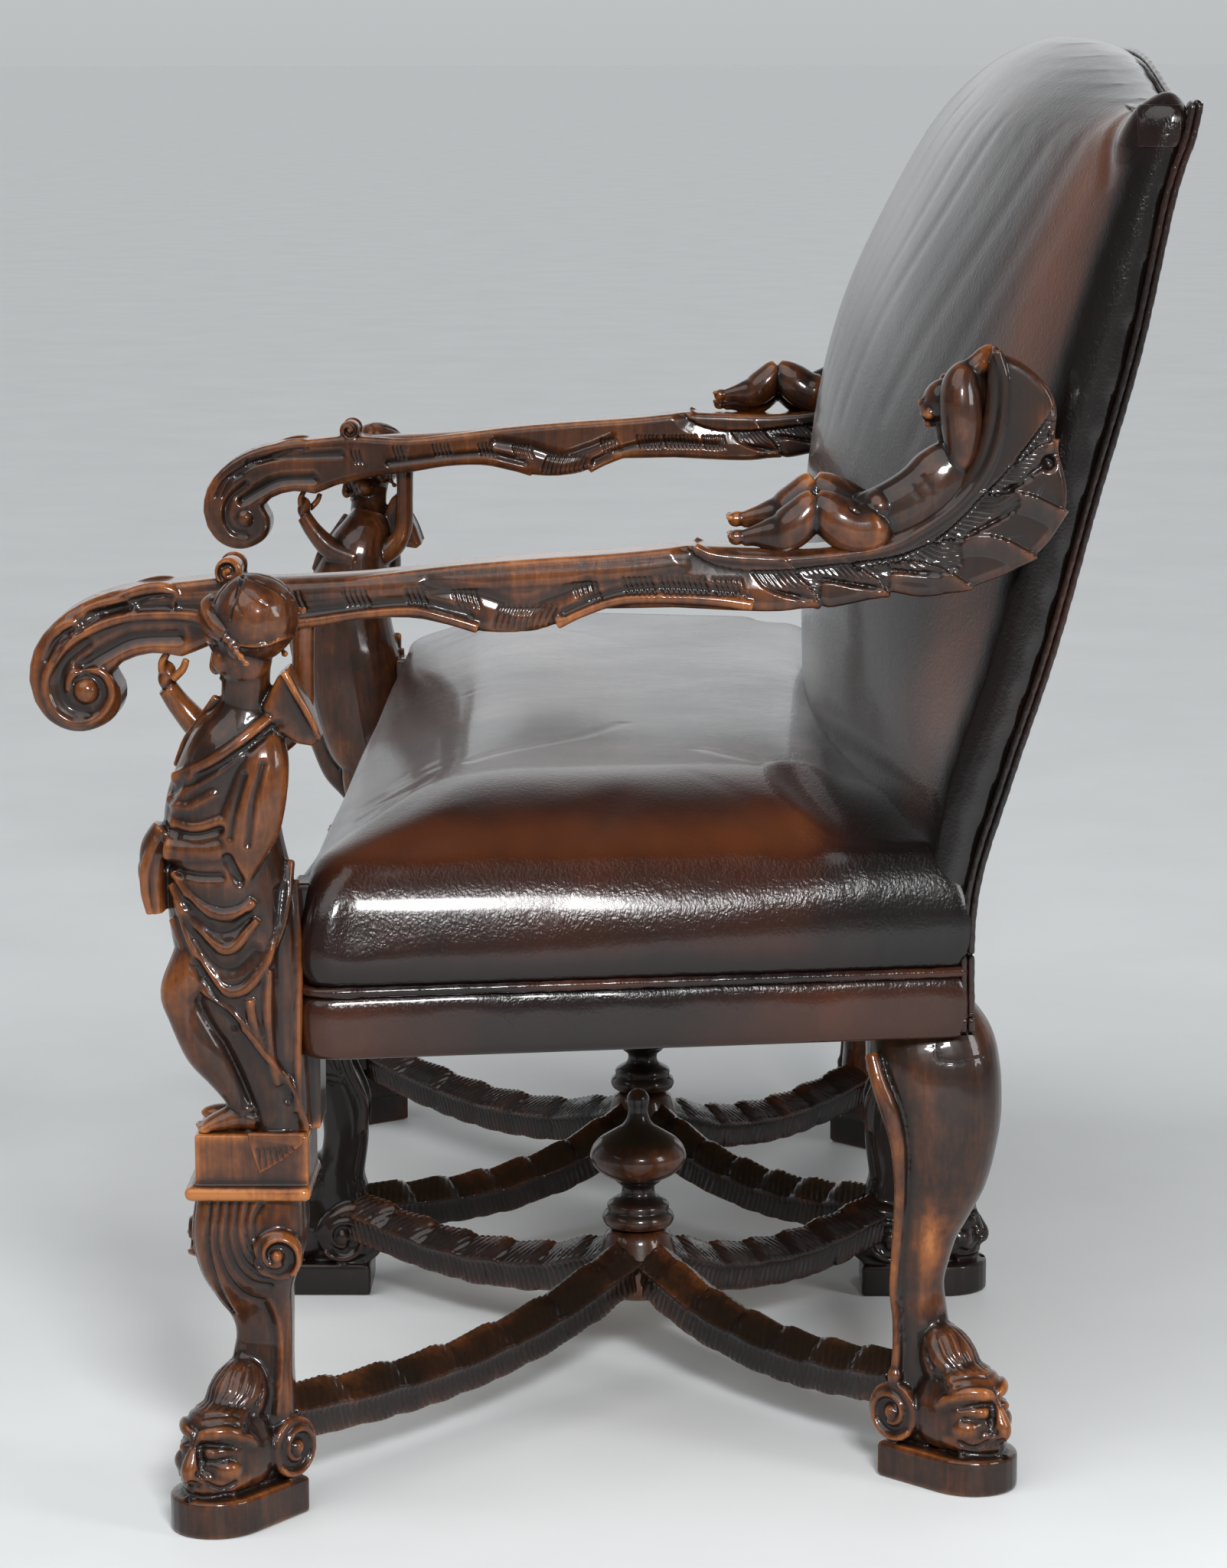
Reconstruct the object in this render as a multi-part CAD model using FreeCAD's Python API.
"""Baroque carved bench: three pairs of cabriole legs, figure arm posts, scrolled arms and stuffed leather.

Millimetres, +Z up, origin on the floor under the middle of the overall box.
+X runs along the bench to the sitter's left, -Y is the front that the sitter's knees point to.
Left and right in the names are +X right and -X left as seen by someone facing the bench.
"""

import FreeCAD, Part
import math
import os

V = FreeCAD.Vector

# Driving dimensions of the whole bench
TOTAL_HEIGHT = 1140.0
SEAT_FRONT_HALF = 686.0
SEAT_REAR_HALF = 600.0
SEAT_FRONT_Y = -228.0
SEAT_REAR_Y = 276.0
SEAT_BOTTOM = 368.0
PIPING_Z = 421.0
SEAT_CROWN = 557.0
SEAT_CORNER_R = 34.0

# Legs: centre of each ankle in plan, and the heading of each foot
FRONT_END_LEG = (634.0, -276.0)
FRONT_MIDDLE_LEG = (0.0, -257.0)
REAR_END_LEG = (534.0, 242.0)
REAR_MIDDLE_LEG = (0.0, 241.0)
FRONT_END_HEADING = -35.0
REAR_END_HEADING = 46.0
FRONT_HEADING = -90.0
REAR_HEADING = 90.0
LEG_TOP = 370.0
PAD_HEIGHT = 30.0
PAD_HALF = 37.0
PAD_TOE = 92.0
END_PAD_HEEL = -12.0
MIDDLE_PAD_HEEL = -24.0

# Pedestal blocks over the front end legs
BLOCK_CENTRE = (640.0, -277.0)
BLOCK_HALF = 43.5
BLOCK_BOTTOM = 260.0
BLOCK_CAP_TOP = 271.0
BLOCK_TOP = 311.0
STILE_FRONT = -245.0
STILE_REAR = -228.0

# Cross stretchers
HUB_X = 255.0
HUB_Y = 14.0
HUB_RADIUS = 37.0
HUB_BOTTOM = 66.0
HUB_TOP = 126.0
STRETCHER_WIDTH = 42.0
STRETCHER_DEPTH = 38.0
STRETCHER_RISE = [(0.0, 76.0), (0.2, 66.0), (0.45, 61.0), (0.7, 69.0), (0.85, 82.0), (1.0, 100.0)]
HUB_DOWEL_Z = 94.0

# Seat frame
RAIL_BOTTOM = 370.0
RAIL_TOP = 440.0
RAIL_THICK = 30.0
RAIL_INSET = 6.0
LEATHER = 2.0
WEB_WIDTH = 50.0
WEB_THICK = 1.6
CROSS_STRAP_X = (118.0, 236.0, 354.0, 472.0)
LONG_STRAP_Y = (-66.0, 24.0, 114.0)

# Back: rear line of the upholstery as (height, y), and front line at the middle and at the sides
BACK_HALF = 600.0
BACK_REAR = [(370, 276), (478, 278), (569, 303), (672, 336), (786, 366), (900, 397), (1017, 421), (1075, 438), (1150, 444)]
BACK_MIDDLE = [(370, 168), (684, 164), (789, 171), (859, 184), (932, 208), (1046, 266), (1088, 298), (1150, 360)]
BACK_SIDE = [(370, 230), (477, 240), (569, 256), (672, 291), (810, 325), (929, 359), (1058, 400), (1150, 420)]
BACK_LEVELS = [441, 478, 569, 672, 786, 859, 932, 1017, 1088, 1150]
BACK_TOP_EAR = 1090.0
BACK_FRAME_INSET = 6.0
BACK_POST_THICK = 34.0
BACK_POST_DEPTH = 34.0
BACK_POST_STEP = 955.0
BACK_BAR_DEPTH = 26.0
BACK_POST_X = 556.0

# Arms
ARM_INNER_X = 603.0
ARM_WIDTH = 52.0
SCROLL_Y = -408.0
SCROLL_Z = 652.0
SCROLL_R = 36.0
HEAD_CENTRE = (682.0, -270.0, 703.0)
HEAD_R = 34.0

DOWEL_R = 5.0
SCREW_R = 2.0
TACK_R = 4.0
CLOTH_THICK = 1.2
FIT_GAP = 0.4
PIPING_R = 4.2

POST_NODES = (
    "arm_post_right", "arm_post_left", "arm_figure_right", "arm_figure_left", "back_post_right", "back_post_left",
    "back_bottom_rail", "back_middle_post",
)
BACK_NODES = ("back_post_right", "back_post_left", "back_bottom_rail", "back_top_rail", "back_middle_post")

os.makedirs("parts", exist_ok=True)
nodes = {}


def keep(name, shape):
    """Stores a sub-part, as one solid or a group of separate solids."""
    solids = shape.Solids
    nodes[name] = solids[0] if len(solids) == 1 else Part.makeCompound(solids)
    return nodes[name]


def largest(shape):
    """The main solid of a cut shape, without slivers left beside it."""
    return max(shape.Solids, key=lambda solid: solid.Volume)


def mirrored(shape):
    return shape.mirror(V(0, 0, 0), V(1, 0, 0))


def keep_pair(name, shape):
    """Stores a sub-part on the right and its mirror image on the left."""
    keep(name + "_right", shape)
    keep(name + "_left", mirrored(shape))


def box(x0, x1, y0, y1, z0, z1):
    return Part.makeBox(x1 - x0, y1 - y0, z1 - z0, V(x0, y0, z0))


def curve_through(points):
    curve = Part.BSplineCurve()
    curve.interpolate([V(*p) for p in points])
    return curve.toShape()


def line(a, b):
    return Part.makeLine(V(*a), V(*b))


def extruded(edges, direction):
    """A solid made by moving a closed flat outline along a direction."""
    return Part.Face(Part.Wire(Part.__sortEdges__(edges))).extrude(V(*direction))


def side_plate(front, back, half_width):
    """A plate from two curves of (u, z), both listed from the bottom up, centred on v = 0."""
    a = [(u, -half_width, z) for u, z in front]
    b = [(u, -half_width, z) for u, z in back]
    edges = [curve_through(a), line(a[-1], b[-1]), curve_through(b), line(b[0], a[0])]
    return extruded(edges, (0, 2 * half_width, 0))


def face_plate(half_widths, reach):
    """A plate that limits a leg's width: (z, half width) from the bottom up, deep enough to hold the leg."""
    right = [(-reach, w, z) for z, w in half_widths]
    left = [(-reach, -w, z) for z, w in half_widths]
    edges = [
        curve_through(right),
        line(right[-1], left[-1]),
        curve_through(left),
        line(left[0], right[0]),
    ]
    return extruded(edges, (2 * reach, 0, 0))


def stand(shape, centre, heading):
    """Turns a shape from the leg's own axes to its heading and sets it on its place in the plan."""
    placed = shape.copy()
    placed.rotate(V(0, 0, 0), V(0, 0, 1), heading)
    placed.translate(V(centre[0], centre[1], 0))
    return placed


def foot_pad(heel):
    """The flat sole under a foot: square heel, round toe."""
    toe_r = PAD_HALF - 3
    shoulder = PAD_TOE - toe_r
    edges = [
        line((heel, -PAD_HALF, 0), (shoulder, -toe_r, 0)),
        Part.Arc(V(shoulder, -toe_r, 0), V(PAD_TOE, 0, 0), V(shoulder, toe_r, 0)).toShape(),
        line((shoulder, toe_r, 0), (heel, PAD_HALF, 0)),
        line((heel, PAD_HALF, 0), (heel, -PAD_HALF, 0)),
    ]
    return extruded(edges, (0, 0, PAD_HEIGHT))


def corner_cabriole(outer, inner, turn, foot_heading):
    """A corner leg sawn to the same S outline on two faces, with its foot turned outward."""
    plate = side_plate(outer, inner, 120)
    across = plate.copy()
    across.rotate(V(0, 0, 0), V(0, 0, 1), 90)
    leg = plate.common(across)
    leg.rotate(V(0, 0, 0), V(0, 0, 1), turn)
    pad = foot_pad(END_PAD_HEEL)
    pad.rotate(V(0, 0, 0), V(0, 0, 1), foot_heading)
    return leg.fuse(pad).removeSplitter()


def front_end_leg():
    outer = [(50, PAD_HEIGHT), (50, 62), (40, 92), (26, 112), (19, 144), (26, 172), (43, 200), (50, 228), (46, BLOCK_BOTTOM)]
    inner = [(-30, PAD_HEIGHT), (-30, 70), (-25, 110), (-25, 144), (-27, 178), (-35, 206), (-38, 230), (-37, BLOCK_BOTTOM)]
    return corner_cabriole(outer, inner, -90, FRONT_END_HEADING)


def rear_end_leg():
    outer = [
        (52, PAD_HEIGHT), (50, 70), (40, 104), (21, 134), (19, 160), (31, 208), (51, 251), (62, 305), (57, 345), (40, LEG_TOP),
    ]
    inner = [(-30, PAD_HEIGHT), (-30, 70), (-21, 120), (-24, 150), (-22, 230), (-27, 288), (-40, 325), (-47, 346), (-48, LEG_TOP)]
    return corner_cabriole(outer, inner, 0, REAR_END_HEADING)


def middle_leg(top_back):
    """A leg that faces straight out, its top running back under the rail as far as top_back."""
    front = [(70, PAD_HEIGHT), (62, 62), (40, 92), (18, 132), (19, 165), (31, 208), (51, 251), (60, 305), (54, 345), (38, LEG_TOP)]
    back = [(-26, PAD_HEIGHT), (-30, 70), (-21, 120), (-20, 150), (-14, 190), (-4, 230), (-8, 290), (0.6 * top_back, 335)]
    back.append((top_back, LEG_TOP))
    widths = [(PAD_HEIGHT, 34), (70, 31), (120, 21), (150, 19), (200, 24), (260, 33), (310, 38), (LEG_TOP, 36)]
    blank = side_plate(front, back, 50)
    return blank.common(face_plate(widths, 150)).fuse(foot_pad(MIDDLE_PAD_HEEL)).removeSplitter()


def make_legs():
    keep_pair("front_leg", stand(front_end_leg(), FRONT_END_LEG, 0))
    keep_pair("rear_leg", stand(rear_end_leg(), REAR_END_LEG, 0))
    keep("front_leg_middle", stand(middle_leg(-66), FRONT_MIDDLE_LEG, FRONT_HEADING))
    keep("rear_leg_middle", stand(middle_leg(-38), REAR_MIDDLE_LEG, REAR_HEADING))


def arm_post():
    """Moulded pedestal block, with a stile rising behind the figure and a heel that the seat rails join."""
    x, y = BLOCK_CENTRE
    half = BLOCK_HALF
    cap = box(x - half - 8, x + half + 8, y - half - 8, y + half, BLOCK_BOTTOM, BLOCK_CAP_TOP)
    block = box(x - half, x + half, y - half, y + half, BLOCK_CAP_TOP, BLOCK_TOP)
    heel = box(x - 40, x + 28, STILE_FRONT, -205, BLOCK_TOP, RAIL_TOP)
    stile = box(x - 28, x + 28, STILE_FRONT, STILE_REAR, RAIL_TOP, 668)
    return cap.fuse(block).fuse(heel).fuse(stile).removeSplitter()


def ellipse_wire(centre, radius_u, radius_v, heading):
    if radius_u >= radius_v:
        edge = Part.Ellipse(V(0, 0, 0), radius_u, radius_v).toShape()
        turn = heading
    else:
        edge = Part.Ellipse(V(0, 0, 0), radius_v, radius_u).toShape()
        turn = heading + 90
    wire = Part.Wire([edge])
    wire.rotate(V(0, 0, 0), V(0, 0, 1), turn)
    wire.translate(V(*centre))
    return wire


def arm_figure():
    """The robed figure that carries the arm: body, neck and head in one carving."""
    x, y = BLOCK_CENTRE
    levels = [
        (BLOCK_TOP, 1, 41, 34),
        (360, 3, 43, 38),
        (415, 11, 52, 42),
        (470, 14, 51, 45),
        (530, 20, 47, 47),
        (580, 15, 40, 46),
        (615, 7, 38, 43),
        (650, -2, 24, 26),
    ]
    sections = [ellipse_wire((x, y - forward, z), deep, wide, FRONT_HEADING) for z, forward, deep, wide in levels]
    body = Part.makeLoft(sections, True, False)
    head = Part.makeSphere(HEAD_R, V(*HEAD_CENTRE))
    neck_base = V(x + 8, y + 4, 632)
    neck_axis = V(*HEAD_CENTRE).sub(neck_base)
    neck = Part.makeCone(24, 17, neck_axis.Length - 14, neck_base, neck_axis)
    return body.fuse(neck).fuse(head)


# Side outline of an arm: upper edge from the scroll back to the tip of the leaf, then down and forward again
ARM_TOP = [(-437, 674), (-410, 708), (-360, 726), (-292, 733), (-227, 729), (-50, 747), (57, 757), (124, 754)]
ARM_LEAF = [(124, 754), (194, 762), (249, 792), (283, 842), (290, 905)]
ARM_REAR = [(290, 905), (322, 873), (339, 800), (318, 752), (270, 730), (204, 716)]
ARM_UNDER = [(204, 716), (128, 708), (68, 714), (-8, 711), (-79, 693), (-150, 697), (-227, 694), (-310, 684), (-376, 664)]


def arm():
    """Scrolled arm with its rising leaf, as one plank cut to the side outline."""
    x = ARM_INNER_X
    runs = [ARM_TOP, ARM_LEAF, ARM_REAR, ARM_UNDER]
    edges = [curve_through([(x, y, z) for y, z in run]) for run in runs]
    edges.append(line((x, *ARM_UNDER[-1]), (x, *ARM_TOP[0])))
    plank = extruded(edges, (ARM_WIDTH, 0, 0))
    scroll = Part.makeCylinder(SCROLL_R, ARM_WIDTH, V(x, SCROLL_Y, SCROLL_Z), V(1, 0, 0))
    return plank.fuse(scroll).removeSplitter()


def capsule(a, b, radius_a, radius_b):
    """A limb: two balls joined by a cone."""
    start, end = V(*a), V(*b)
    axis = end.sub(start)
    limb = Part.makeCone(radius_a, radius_b, axis.Length, start, axis)
    return limb.fuse(Part.makeSphere(radius_a, start)).fuse(Part.makeSphere(radius_b, end))


def arm_cherub():
    """The child lying back on the leaf, knees up and head raised."""
    x = ARM_INNER_X + ARM_WIDTH / 2 + 4
    shin = capsule((x, 108, 774), (x, 148, 800), 11, 15)
    thigh = capsule((x, 149, 801), (x, 190, 786), 15.5, 23)
    trunk = capsule((x, 191, 787), (x, 238, 826), 24, 25)
    head = capsule((x, 246, 846), (x, 254, 874), 16, 26)
    return shin.fuse(thigh).fuse(trunk).fuse(head)


def make_arms():
    plank = arm()
    cherub = arm_cherub().cut(plank)
    post = arm_post()
    figure = arm_figure().cut(post).cut(plank)
    keep_pair("arm_post", post.cut(plank))
    keep_pair("arm_figure", largest(figure))
    keep_pair("arm", plank)
    keep_pair("arm_cherub", largest(cherub))


def stretcher_run(leg):
    """Start and end in plan of one arm of a cross stretcher, from an ankle's middle to the hub's."""
    return V(leg[0], leg[1], 0), V(HUB_X, HUB_Y, 0)


def stretcher(leg):
    """One arm of a cross stretcher: a bar that sags from the ankle and sweeps up to the hub."""
    start, end = stretcher_run(leg)
    run = end.sub(start)
    half = STRETCHER_DEPTH / 2
    w = STRETCHER_WIDTH / 2
    top = [(t * run.Length, -w, z + half) for t, z in STRETCHER_RISE]
    under = [(t * run.Length, -w, z - half) for t, z in STRETCHER_RISE]
    edges = [curve_through(top), line(top[-1], under[-1]), curve_through(under), line(under[0], top[0])]
    bar = extruded(edges, (0, 2 * w, 0))
    bar.rotate(V(0, 0, 0), V(0, 0, 1), math.degrees(math.atan2(run.y, run.x)))
    bar.translate(start)
    return bar


def finial():
    """Turned finial with its spigot in the hub."""
    z = HUB_TOP
    half_outline = [
        (0, z - 30), (9, z - 30), (9, z), (26, z), (30, z + 8), (30, z + 16), (24, z + 22), (16, z + 25),
        (14, z + 34), (20, z + 40), (36, z + 50), (42, z + 62), (38, z + 74), (24, z + 84), (12, z + 90),
        (8, z + 102), (9, z + 112), (6, z + 119), (0, z + 121),
    ]
    wire = Part.makePolygon([V(r, 0, h) for r, h in half_outline] + [V(0, 0, z - 30)])
    turned = Part.Face(wire).revolve(V(0, 0, 0), V(0, 0, 1), 360)
    turned.translate(V(HUB_X, HUB_Y, 0))
    return turned


STRETCHER_ARMS = {
    "outer_front": (FRONT_END_LEG, "front_leg_right"),
    "outer_rear": (REAR_END_LEG, "rear_leg_right"),
    "inner_front": (FRONT_MIDDLE_LEG, "front_leg_middle"),
    "inner_rear": (REAR_MIDDLE_LEG, "rear_leg_middle"),
}


def make_stretchers():
    hub = Part.makeCylinder(HUB_RADIUS, HUB_TOP - HUB_BOTTOM, V(HUB_X, HUB_Y, HUB_BOTTOM))
    turned = finial()
    bars = {}
    others = [hub]
    for name, (leg, leg_node) in STRETCHER_ARMS.items():
        bar = stretcher(leg).cut(nodes[leg_node])
        if leg[0] == 0:
            bar = bar.cut(box(-400, FIT_GAP, -600, 600, 0, 300))
        for other in others:
            bar = bar.cut(other)
        bars[name] = largest(bar)
        others.append(bars[name])
    keep_pair("stretcher_hub", hub.cut(turned))
    keep_pair("finial", turned)
    for name, bar in bars.items():
        keep_pair("stretcher_" + name, bar)


def seat_corners(inset):
    """The four corners of the seat's plan, moved in by an inset."""
    slope = (SEAT_FRONT_HALF - SEAT_REAR_HALF) / (SEAT_REAR_Y - SEAT_FRONT_Y)
    front_y, rear_y = SEAT_FRONT_Y + inset, SEAT_REAR_Y - inset
    side = inset * math.hypot(1, slope)
    front_x = SEAT_FRONT_HALF - slope * inset - side
    rear_x = SEAT_REAR_HALF + slope * inset - side
    return [(-front_x, front_y), (front_x, front_y), (rear_x, rear_y), (-rear_x, rear_y)]


def seat_wire(inset, z, corner_r):
    """The seat's plan outline at a height, with round corners."""
    corners = [V(x, y, z) for x, y in seat_corners(inset)]
    edges = []
    ends = []
    for i, corner in enumerate(corners):
        before = corners[i - 1].sub(corner).normalize()
        after = corners[(i + 1) % 4].sub(corner).normalize()
        bisector = before.add(after).normalize()
        half_angle = before.getAngle(after) / 2
        reach = corner_r / math.tan(half_angle)
        centre = corner.add(bisector * (corner_r / math.sin(half_angle)))
        first, last = corner.add(before * reach), corner.add(after * reach)
        middle = centre.sub(bisector * corner_r)
        ends.append((first, last))
        edges.append(Part.Arc(first, middle, last).toShape())
    sides = [Part.makeLine(ends[i][1], ends[(i + 1) % 4][0]) for i in range(4)]
    ring = [edge for pair in zip(edges, sides) for edge in pair]
    return Part.Wire(ring)


def seat_slab(inset, z0, z1):
    return Part.Face(seat_wire(inset, z0, SEAT_CORNER_R)).extrude(V(0, 0, z1 - z0))


SEAT_LEVELS = [(3, 424), (-3, 450), (3, 490), (24, 522), (70, 543), (150, SEAT_CROWN)]


def seat_dome(shrink):
    """The stuffed seat above the piping, shrunk by a skin's thickness."""
    wires = [
        seat_wire(inset + shrink, z - (shrink if z > 470 else 0), SEAT_CORNER_R + 0.4 * max(inset, 0))
        for inset, z in SEAT_LEVELS
    ]
    return Part.makeLoft(wires, True, True)


def make_seat_frame():
    plan = seat_slab(RAIL_INSET, RAIL_BOTTOM, RAIL_TOP)
    hollow = seat_slab(RAIL_INSET + RAIL_THICK, RAIL_BOTTOM - 1, RAIL_TOP + 1)
    ring = plan.cut(hollow)
    posts = [nodes["arm_post_right"], nodes["arm_post_left"], nodes["back_post_right"], nodes["back_post_left"]]
    for post in posts + [nodes["arm_figure_right"], nodes["arm_figure_left"]]:
        ring = ring.cut(post)
    front_edge = SEAT_FRONT_Y + RAIL_INSET + RAIL_THICK
    rear_edge = SEAT_REAR_Y - RAIL_INSET - RAIL_THICK
    front = ring.common(box(-900, 900, -900, front_edge, 300, 500))
    rear = ring.common(box(-900, 900, rear_edge, 900, 300, 500))
    side = ring.common(box(0, 900, front_edge, rear_edge, 300, 500))
    keep("seat_rail_front", largest(front))
    keep("seat_rail_rear", largest(rear))
    keep_pair("seat_rail_side", largest(side))
    half = RAIL_THICK / 2 + 5
    keep("seat_cross_rail", box(-half, half, front_edge, rear_edge, RAIL_BOTTOM + 6, RAIL_TOP - 18))


def corner_block(corner, direction):
    """A three-sided glue block in an inside corner of the seat frame."""
    x, y = corner
    sx, sy = direction
    leg = 58.0
    points = [V(x, y, 0), V(x + sx * leg, y, 0), V(x, y + sy * leg, 0), V(x, y, 0)]
    block = Part.Face(Part.makePolygon(points)).extrude(V(0, 0, 40))
    block.translate(V(0, 0, RAIL_BOTTOM + 14))
    return block


def screw(head_at, direction, length):
    """A countersunk wood screw."""
    axis = V(*direction).normalize()
    shank = Part.makeCylinder(SCREW_R, length, V(*head_at), axis)
    head = Part.makeCone(SCREW_R * 2.2, SCREW_R, 3.5, V(*head_at), axis)
    return shank.fuse(head).removeSplitter()


def make_corner_blocks():
    """Glue blocks where the cross rail meets the front and rear rails, where nothing else stiffens the frame."""
    half = RAIL_THICK / 2 + 5
    front_edge = SEAT_FRONT_Y + RAIL_INSET + RAIL_THICK
    rear_edge = SEAT_REAR_Y - RAIL_INSET - RAIL_THICK
    z = RAIL_BOTTOM + 34
    blocks, screws = [], []
    for sx in (1, -1):
        for y, sy in ((front_edge, 1), (rear_edge, -1)):
            block = corner_block((sx * half, y), (sx, sy))
            for head, way in (
                ((sx * (half + 17), y + sy * 30, z), (0, -sy, 0)),
                ((sx * (half + 30), y + sy * 17, z - 8), (-sx, 0, 0)),
            ):
                screws.append(screw(head, way, 46))
            blocks.append(block)
    group = Part.makeCompound(screws)
    keep("corner_blocks", Part.makeCompound([b.cut(group) for b in blocks]))
    keep("corner_block_screws", group)
    for name in ("seat_rail_front", "seat_rail_rear", "seat_cross_rail"):
        keep(name, nodes[name].cut(group))


def side_x(y):
    """Half the seat's width at a depth."""
    return SEAT_FRONT_HALF + (SEAT_REAR_HALF - SEAT_FRONT_HALF) * (y - SEAT_FRONT_Y) / (SEAT_REAR_Y - SEAT_FRONT_Y)


def seat_webbing():
    """Jute straps over the frame: a layer across on the rails, and a layer the long way on top of it."""
    half = WEB_WIDTH / 2
    low = RAIL_TOP
    high = RAIL_TOP + WEB_THICK
    straps = []
    for x in CROSS_STRAP_X:
        for sx in (1, -1):
            mid = sx * x
            straps.append(box(mid - half, mid + half, SEAT_FRONT_Y + 14, SEAT_REAR_Y - 14, low, low + WEB_THICK))
    for y in LONG_STRAP_Y:
        reach = side_x(y + half) - 16
        straps.append(box(-reach, reach, y - half, y + half, high, high + WEB_THICK))
    return Part.makeCompound(straps)


def make_seat_filling():
    """Webbing, hessian and hair stuffing over the seat frame."""
    keep("seat_webbing", seat_webbing())
    cloth_z = RAIL_TOP + 2 * WEB_THICK + 1
    above = box(-900, 900, -900, 900, cloth_z + CLOTH_THICK + 0.2, 700)
    stuffing = seat_dome(LEATHER + 0.3).common(above)
    hessian = seat_slab(RAIL_INSET + 2, cloth_z, cloth_z + CLOTH_THICK)
    for name in POST_NODES:
        stuffing = stuffing.cut(nodes[name])
        hessian = hessian.cut(nodes[name])
    keep("seat_hessian", largest(hessian))
    keep("seat_stuffing", largest(stuffing))


def seat_skin():
    """Leather of the seat: top cover, piping and lower border, open along the back."""
    skin_bottom = PIPING_Z + PIPING_R + 0.2
    cover = seat_dome(0).cut(seat_dome(LEATHER)).cut(box(-900, 900, -900, 900, 0, skin_bottom))
    cover = cover.cut(box(-560, 560, SEAT_REAR_Y - 10, 900, 0, 700))
    border = seat_slab(1, SEAT_BOTTOM, PIPING_Z - PIPING_R - 0.2)
    border = border.cut(seat_slab(RAIL_INSET - 0.4, SEAT_BOTTOM - 1, PIPING_Z))
    welt = seat_slab(RAIL_INSET - 2 * PIPING_R, PIPING_Z - PIPING_R, PIPING_Z + PIPING_R)
    welt = welt.cut(seat_slab(RAIL_INSET - 0.4, PIPING_Z - 9, PIPING_Z + 9))
    behind = box(-900, 900, SEAT_REAR_Y - 8, 900, 0, 900)
    border, welt = border.cut(behind), welt.cut(behind)
    for name in POST_NODES:
        cover, border, welt = cover.cut(nodes[name]), border.cut(nodes[name]), welt.cut(nodes[name])
    keep("seat_cover", largest(cover))
    keep("seat_border", border)
    keep("seat_piping", welt)


def at_height(table, z):
    """The y of a line given as (height, y) points."""
    if z <= table[0][0]:
        return table[0][1]
    for (z0, y0), (z1, y1) in zip(table, table[1:]):
        if z <= z1:
            return y0 + (y1 - y0) * (z - z0) / (z1 - z0)
    return table[-1][1]


def back_section(z, inset):
    """A level slice of the back: flat behind, straight short sides, crowned in front."""
    rear = at_height(BACK_REAR, z) - inset
    side = at_height(BACK_SIDE, z) + inset
    middle = at_height(BACK_MIDDLE, z) + inset
    x = BACK_HALF - inset
    return Part.Wire([
        Part.makeLine(V(-x, rear, z), V(x, rear, z)),
        Part.makeLine(V(x, rear, z), V(x, side, z)),
        Part.Arc(V(x, side, z), V(0, middle, z), V(-x, side, z)).toShape(),
        Part.makeLine(V(-x, side, z), V(-x, rear, z)),
    ])


def back_body(inset):
    """The stuffed back as one solid, its top cut to the humped outline between two ears."""
    block = Part.makeLoft([back_section(z, inset) for z in BACK_LEVELS], True, True)
    ear = BACK_TOP_EAR - inset
    right = [(600, ear - 2), (560, ear + 3), (520, ear - 1), (430, ear + 8), (260, ear + 34), (0, TOTAL_HEIGHT - inset)]
    outline = right + [(-x, z) for x, z in reversed(right[:-1])]
    low, y = 400, 100
    edges = [
        curve_through([(x, y, z) for x, z in outline]),
        line((-600, y, outline[-1][1]), (-600, y, low)),
        line((-600, y, low), (600, y, low)),
        line((600, y, low), (600, y, outline[0][1])),
    ]
    return block.common(extruded(edges, (0, 500, 0)))


def raked_layer(x0, x1, heights, front, rear):
    """A layer that follows the back's rake between two heights, from front to rear of the frame's rear line."""
    lines = [(z, at_height(BACK_REAR, z) - BACK_FRAME_INSET) for z in heights]
    points = [V(x0, y + rear, z) for z, y in lines]
    points += [V(x0, y + front, z) for z, y in reversed(lines)]
    return Part.Face(Part.makePolygon(points + points[:1])).extrude(V(x1 - x0, 0, 0))


def back_heights(z0, z1):
    """The heights at which the rake bends, between two ends."""
    return [z0] + [z for z, y in BACK_REAR if z0 < z < z1] + [z1]


def back_post():
    """A raked upright inside the back, thinner above the straps, standing on the rear corner of the seat frame."""
    x0, x1 = BACK_POST_X, BACK_POST_X + BACK_POST_THICK
    lower = raked_layer(x0, x1, back_heights(RAIL_BOTTOM, BACK_POST_STEP), -BACK_POST_DEPTH, 0)
    upper = raked_layer(x0, x1, back_heights(BACK_POST_STEP, 1060), -BACK_BAR_DEPTH, 0)
    return lower.fuse(upper).removeSplitter()


def back_bar(x0, x1, z0, z1):
    """A rail or upright between the back posts, raked with them."""
    return raked_layer(x0, x1, back_heights(z0, z1), -BACK_BAR_DEPTH, 0)


def make_back_frame():
    keep_pair("back_post", back_post())
    x = BACK_POST_X
    keep("back_bottom_rail", back_bar(-x, x, 480, 545))
    hump = Part.makeCylinder(2400, 400, V(0, 200, 1110 - 2400), V(0, 1, 0))
    keep("back_top_rail", back_bar(-x, x, 1000, 1110).common(hump))
    keep("back_middle_post", back_bar(-18, 18, 545, 1000))


def back_webbing():
    """Straps across the front of the back frame."""
    front = -BACK_POST_DEPTH - 0.2
    straps = [
        raked_layer(-575, 575, back_heights(z, z + WEB_WIDTH), front - WEB_THICK, front) for z in (600, 700, 800, 900)
    ]
    return Part.makeCompound(straps)


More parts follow.
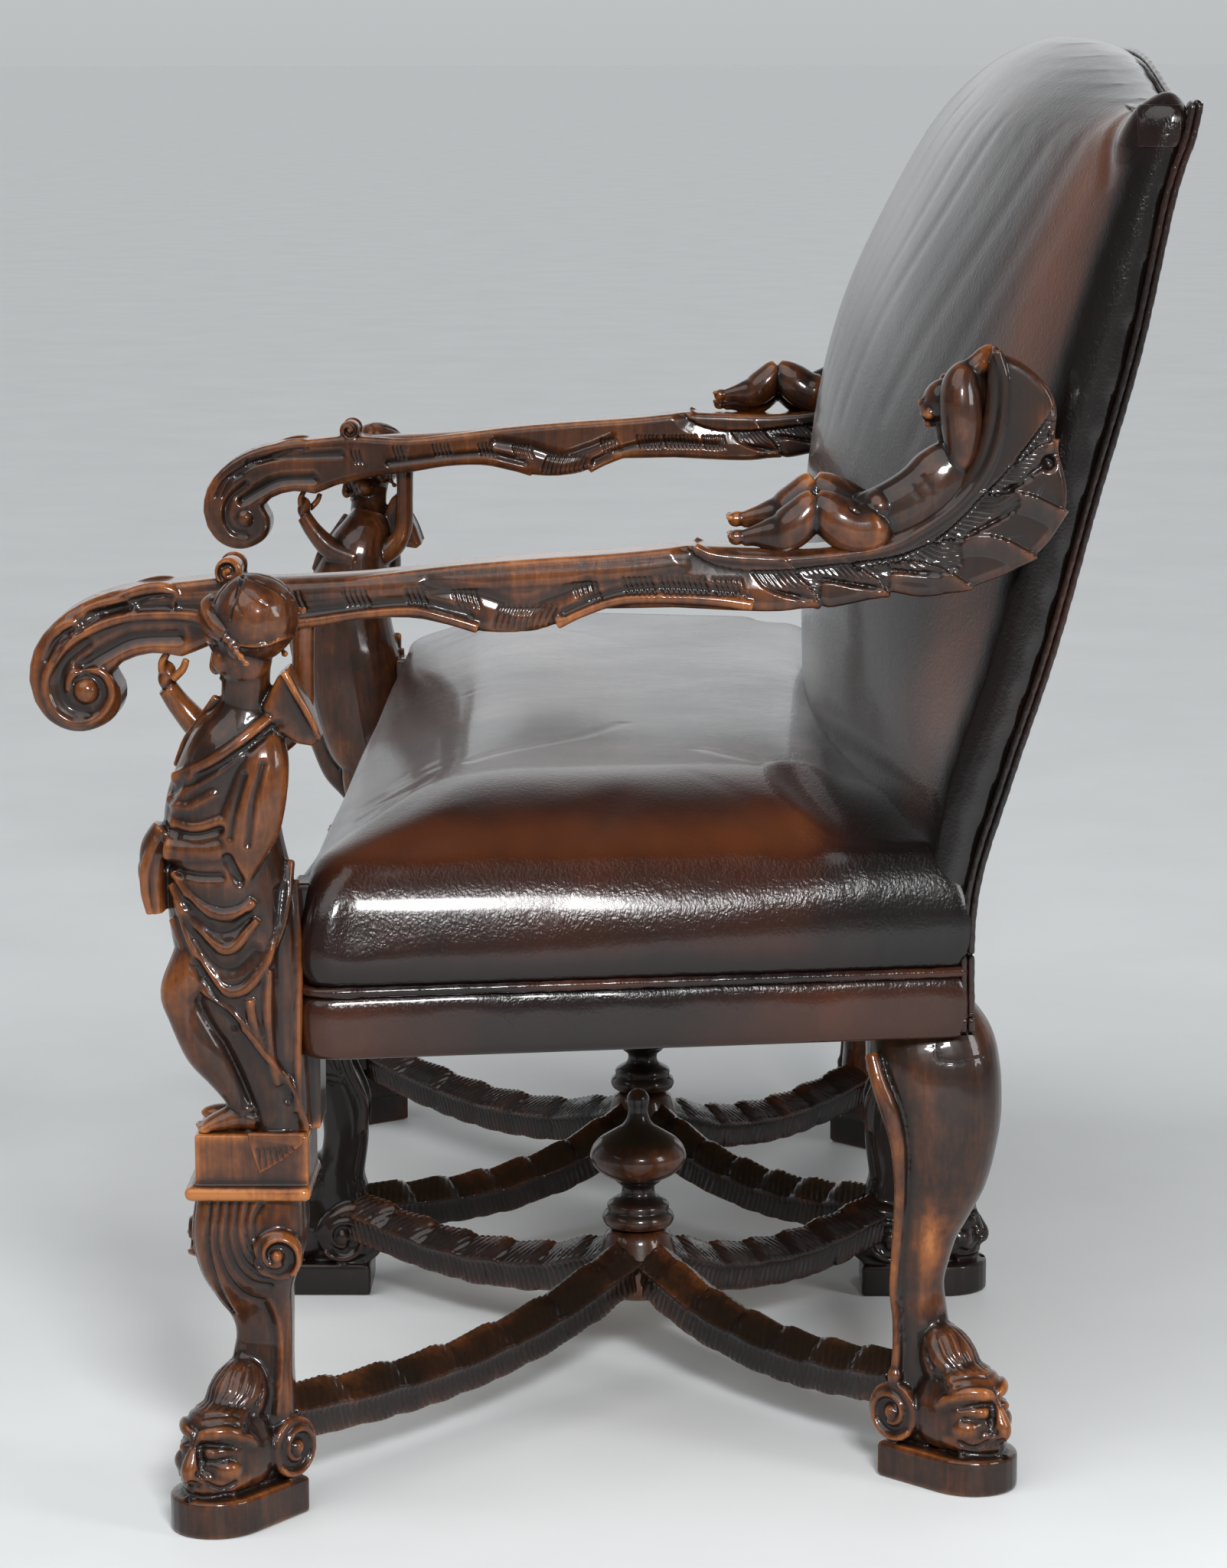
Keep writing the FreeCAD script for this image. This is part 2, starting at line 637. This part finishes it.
def make_back_filling():
    seat = seat_dome(-FIT_GAP)
    inner = back_body(LEATHER)
    cloth_front = -BACK_POST_DEPTH - 3.4
    every = back_heights(430, 1160)
    keep("back_webbing", back_webbing())
    cloth = raked_layer(-585, 585, back_heights(560, 1080), cloth_front, cloth_front + CLOTH_THICK)
    keep("back_hessian", largest(inner.common(cloth)))
    stuffing = back_body(LEATHER + 0.3).common(raked_layer(-900, 900, every, -500, cloth_front - 0.2)).cut(seat)
    keep("back_stuffing", largest(stuffing))
    skin = back_body(0).cut(inner)
    rear_zone = raked_layer(-900, 900, every, BACK_FRAME_INSET - 6, 200)
    panel = skin.common(rear_zone).common(box(-591, 591, 0, 900, 480, 1200))
    cover = skin.cut(raked_layer(-592, 592, every, BACK_FRAME_INSET - 6, 200)).cut(seat)
    for name in BACK_NODES:
        cover = cover.cut(nodes[name])
        panel = panel.cut(nodes[name])
    keep("back_cover", largest(cover))
    keep("back_panel", largest(panel))
    rear_face = BACK_FRAME_INSET + 0.2
    edge = raked_layer(BACK_HALF - 7, BACK_HALF, back_heights(SEAT_BOTTOM + 2, 1084), rear_face, rear_face + 5)
    keep_pair("back_piping", edge)


def pin(a, b, radius):
    """A round dowel from one point to another."""
    axis = V(*b).sub(V(*a))
    return Part.makeCylinder(radius, axis.Length, V(*a), axis)


def fit_pins(name, pins, hosts):
    """Stores a group of pins and drills their holes in the pieces that they join."""
    group = keep(name, Part.makeCompound(pins))
    for host in hosts:
        keep(host, nodes[host].cut(group))


def with_mirror(pins):
    return pins + [mirrored(p) for p in pins]


def both(*names):
    return [f"{name}_{side}" for name in names for side in ("right", "left")]


def make_leg_dowels():
    """Upright dowels from each leg into the block, rail or post that stands on it."""
    x, y = BLOCK_CENTRE
    pins = [
        pin((x, y, BLOCK_BOTTOM - 25), (x, y, BLOCK_BOTTOM + 25), DOWEL_R),
        pin((14, -210, 357), (14, -210, 398), DOWEL_R),
        pin((14, 255, 335), (14, 255, 398), DOWEL_R),
        pin((540, 255, 335), (540, 255, 398), DOWEL_R),
        pin((566, 240, 335), (566, 240, 402), DOWEL_R),
    ]
    hosts = both("front_leg", "rear_leg", "arm_post", "back_post")
    hosts += ["front_leg_middle", "rear_leg_middle", "seat_rail_front", "seat_rail_rear", "seat_bottom_cloth"]
    fit_pins("leg_dowels", with_mirror(pins), hosts)


def make_stretcher_dowels():
    """Level dowels at both ends of every stretcher arm."""
    pins = []
    leg_z = STRETCHER_RISE[0][1]
    for leg, leg_node in STRETCHER_ARMS.values():
        start, end = stretcher_run(leg)
        way = end.sub(start).normalize()
        near, far = start.add(way * 6), start.add(way * 62)
        pins.append(pin((near.x, near.y, leg_z), (far.x, far.y, leg_z - 3), DOWEL_R - 1))
        near, far = end.sub(way * (HUB_RADIUS + 20)), end.sub(way * (HUB_RADIUS - 14))
        pins.append(pin((near.x, near.y, HUB_DOWEL_Z - 6), (far.x, far.y, HUB_DOWEL_Z), DOWEL_R - 1))
    hosts = both("front_leg", "rear_leg", "stretcher_hub") + ["front_leg_middle", "rear_leg_middle"]
    hosts += both(*["stretcher_" + name for name in STRETCHER_ARMS])
    fit_pins("stretcher_dowels", with_mirror(pins), hosts)


def make_arm_dowels():
    """Dowels that hold each arm to its post, figure and back, and the carvings to their seats."""
    x, y = BLOCK_CENTRE
    stile_y = (STILE_FRONT + STILE_REAR) / 2
    mid_x = ARM_INNER_X + ARM_WIDTH / 2 + 4
    head_x, head_y, head_z = HEAD_CENTRE
    pins = [
        pin((x, stile_y, 628), (x, stile_y, 708), DOWEL_R),
        pin((x, y, BLOCK_TOP - 16), (x, y, BLOCK_TOP + 30), DOWEL_R),
        pin((head_x - 48, head_y, head_z), (head_x - 8, head_y, head_z), DOWEL_R),
        pin((BACK_POST_X + 12, 330.3, 785), (ARM_INNER_X + 28, 330.3, 785), DOWEL_R - 1),
        pin((BACK_POST_X + 12, 335.2, 806), (ARM_INNER_X + 28, 335.2, 806), DOWEL_R - 1),
        pin((mid_x, 204, 742), (mid_x, 204, 792), DOWEL_R - 1),
    ]
    hosts = both("arm", "arm_post", "arm_figure", "arm_cherub", "back_post") + ["back_cover"]
    fit_pins("arm_dowels", with_mirror(pins), hosts)


def make_frame_dowels():
    """Dowels of the seat rails, the back rails and the back's middle upright."""
    rail_z = (RAIL_BOTTOM + RAIL_TOP) / 2
    corner_x = side_x(-190) - RAIL_INSET - RAIL_THICK / 2
    pins = [
        pin((560, -213, rail_z), (626, -213, rail_z), DOWEL_R),
        pin((corner_x, -212, rail_z + 14), (corner_x - 8, -165, rail_z + 14), DOWEL_R),
        pin((584, 205, rail_z), (584, 254, rail_z), DOWEL_R),
    ]
    for z in (512, 1030):
        mid_y = at_height(BACK_REAR, z) - BACK_FRAME_INSET - BACK_BAR_DEPTH / 2
        pins.append(pin((BACK_POST_X - 22, mid_y, z), (BACK_POST_X + 22, mid_y, z), DOWEL_R))
    pins = with_mirror(pins)
    for z in (545, 1000):
        mid_y = at_height(BACK_REAR, z) - BACK_FRAME_INSET - BACK_BAR_DEPTH / 2
        pins.append(pin((0, mid_y - 6, z - 22), (0, mid_y + 6, z + 22), DOWEL_R))
    hosts = both("arm_post", "seat_rail_side", "back_post")
    hosts += ["seat_rail_front", "seat_rail_rear", "back_bottom_rail", "back_top_rail", "back_middle_post"]
    fit_pins("frame_dowels", pins, hosts)


def tack(x, y, z):
    """A short broad-headed tack driven down."""
    head = Part.makeCylinder(TACK_R, 0.8, V(x, y, z))
    return head.fuse(Part.makeCylinder(0.9, 11, V(x, y, z - 11)))


def make_tacks():
    """Tacks through both ends of every seat strap."""
    low_layer = RAIL_TOP + WEB_THICK
    top_layer = RAIL_TOP + 2 * WEB_THICK
    tacks = []
    for x in CROSS_STRAP_X:
        for dx in (-14, 14):
            for y in (SEAT_FRONT_Y + 22, SEAT_REAR_Y - 22):
                tacks.append(tack(x + dx, y, low_layer))
    for y in LONG_STRAP_Y:
        for dy in (-14, 14):
            tacks.append(tack(side_x(y + WEB_WIDTH / 2) - 22, y + dy, top_layer))
    hosts = both("seat_rail_side") + ["seat_rail_front", "seat_rail_rear", "seat_webbing"]
    fit_pins("strap_tacks", with_mirror(tacks), hosts)


def make_bottom_cloth():
    """Hessian that closes the underside, cut round everything that passes it."""
    cloth = seat_slab(8, RAIL_BOTTOM - CLOTH_THICK, RAIL_BOTTOM)
    passing = both("arm_post", "arm_figure", "rear_leg", "back_piping") + ["front_leg_middle", "rear_leg_middle"]
    for name in passing:
        cloth = cloth.cut(nodes[name])
    keep("seat_bottom_cloth", largest(cloth))


make_legs()
make_arms()
make_back_frame()
make_stretchers()
make_seat_frame()
make_corner_blocks()
make_seat_filling()
seat_skin()
make_back_filling()
make_bottom_cloth()
make_leg_dowels()
make_stretcher_dowels()
make_arm_dowels()
make_frame_dowels()
make_tacks()

for name, shape in nodes.items():
    shape.exportStep(f"parts/{name}.step")
whole = Part.makeCompound(list(nodes.values())).optimalBoundingBox(False)
print(f"{len(nodes)} nodes, box {whole}")
for name, shape in nodes.items():
    print(f"{name}: {len(shape.Solids)} solids, valid {shape.isValid()}, {shape.Volume / 1000:.1f} cm3")
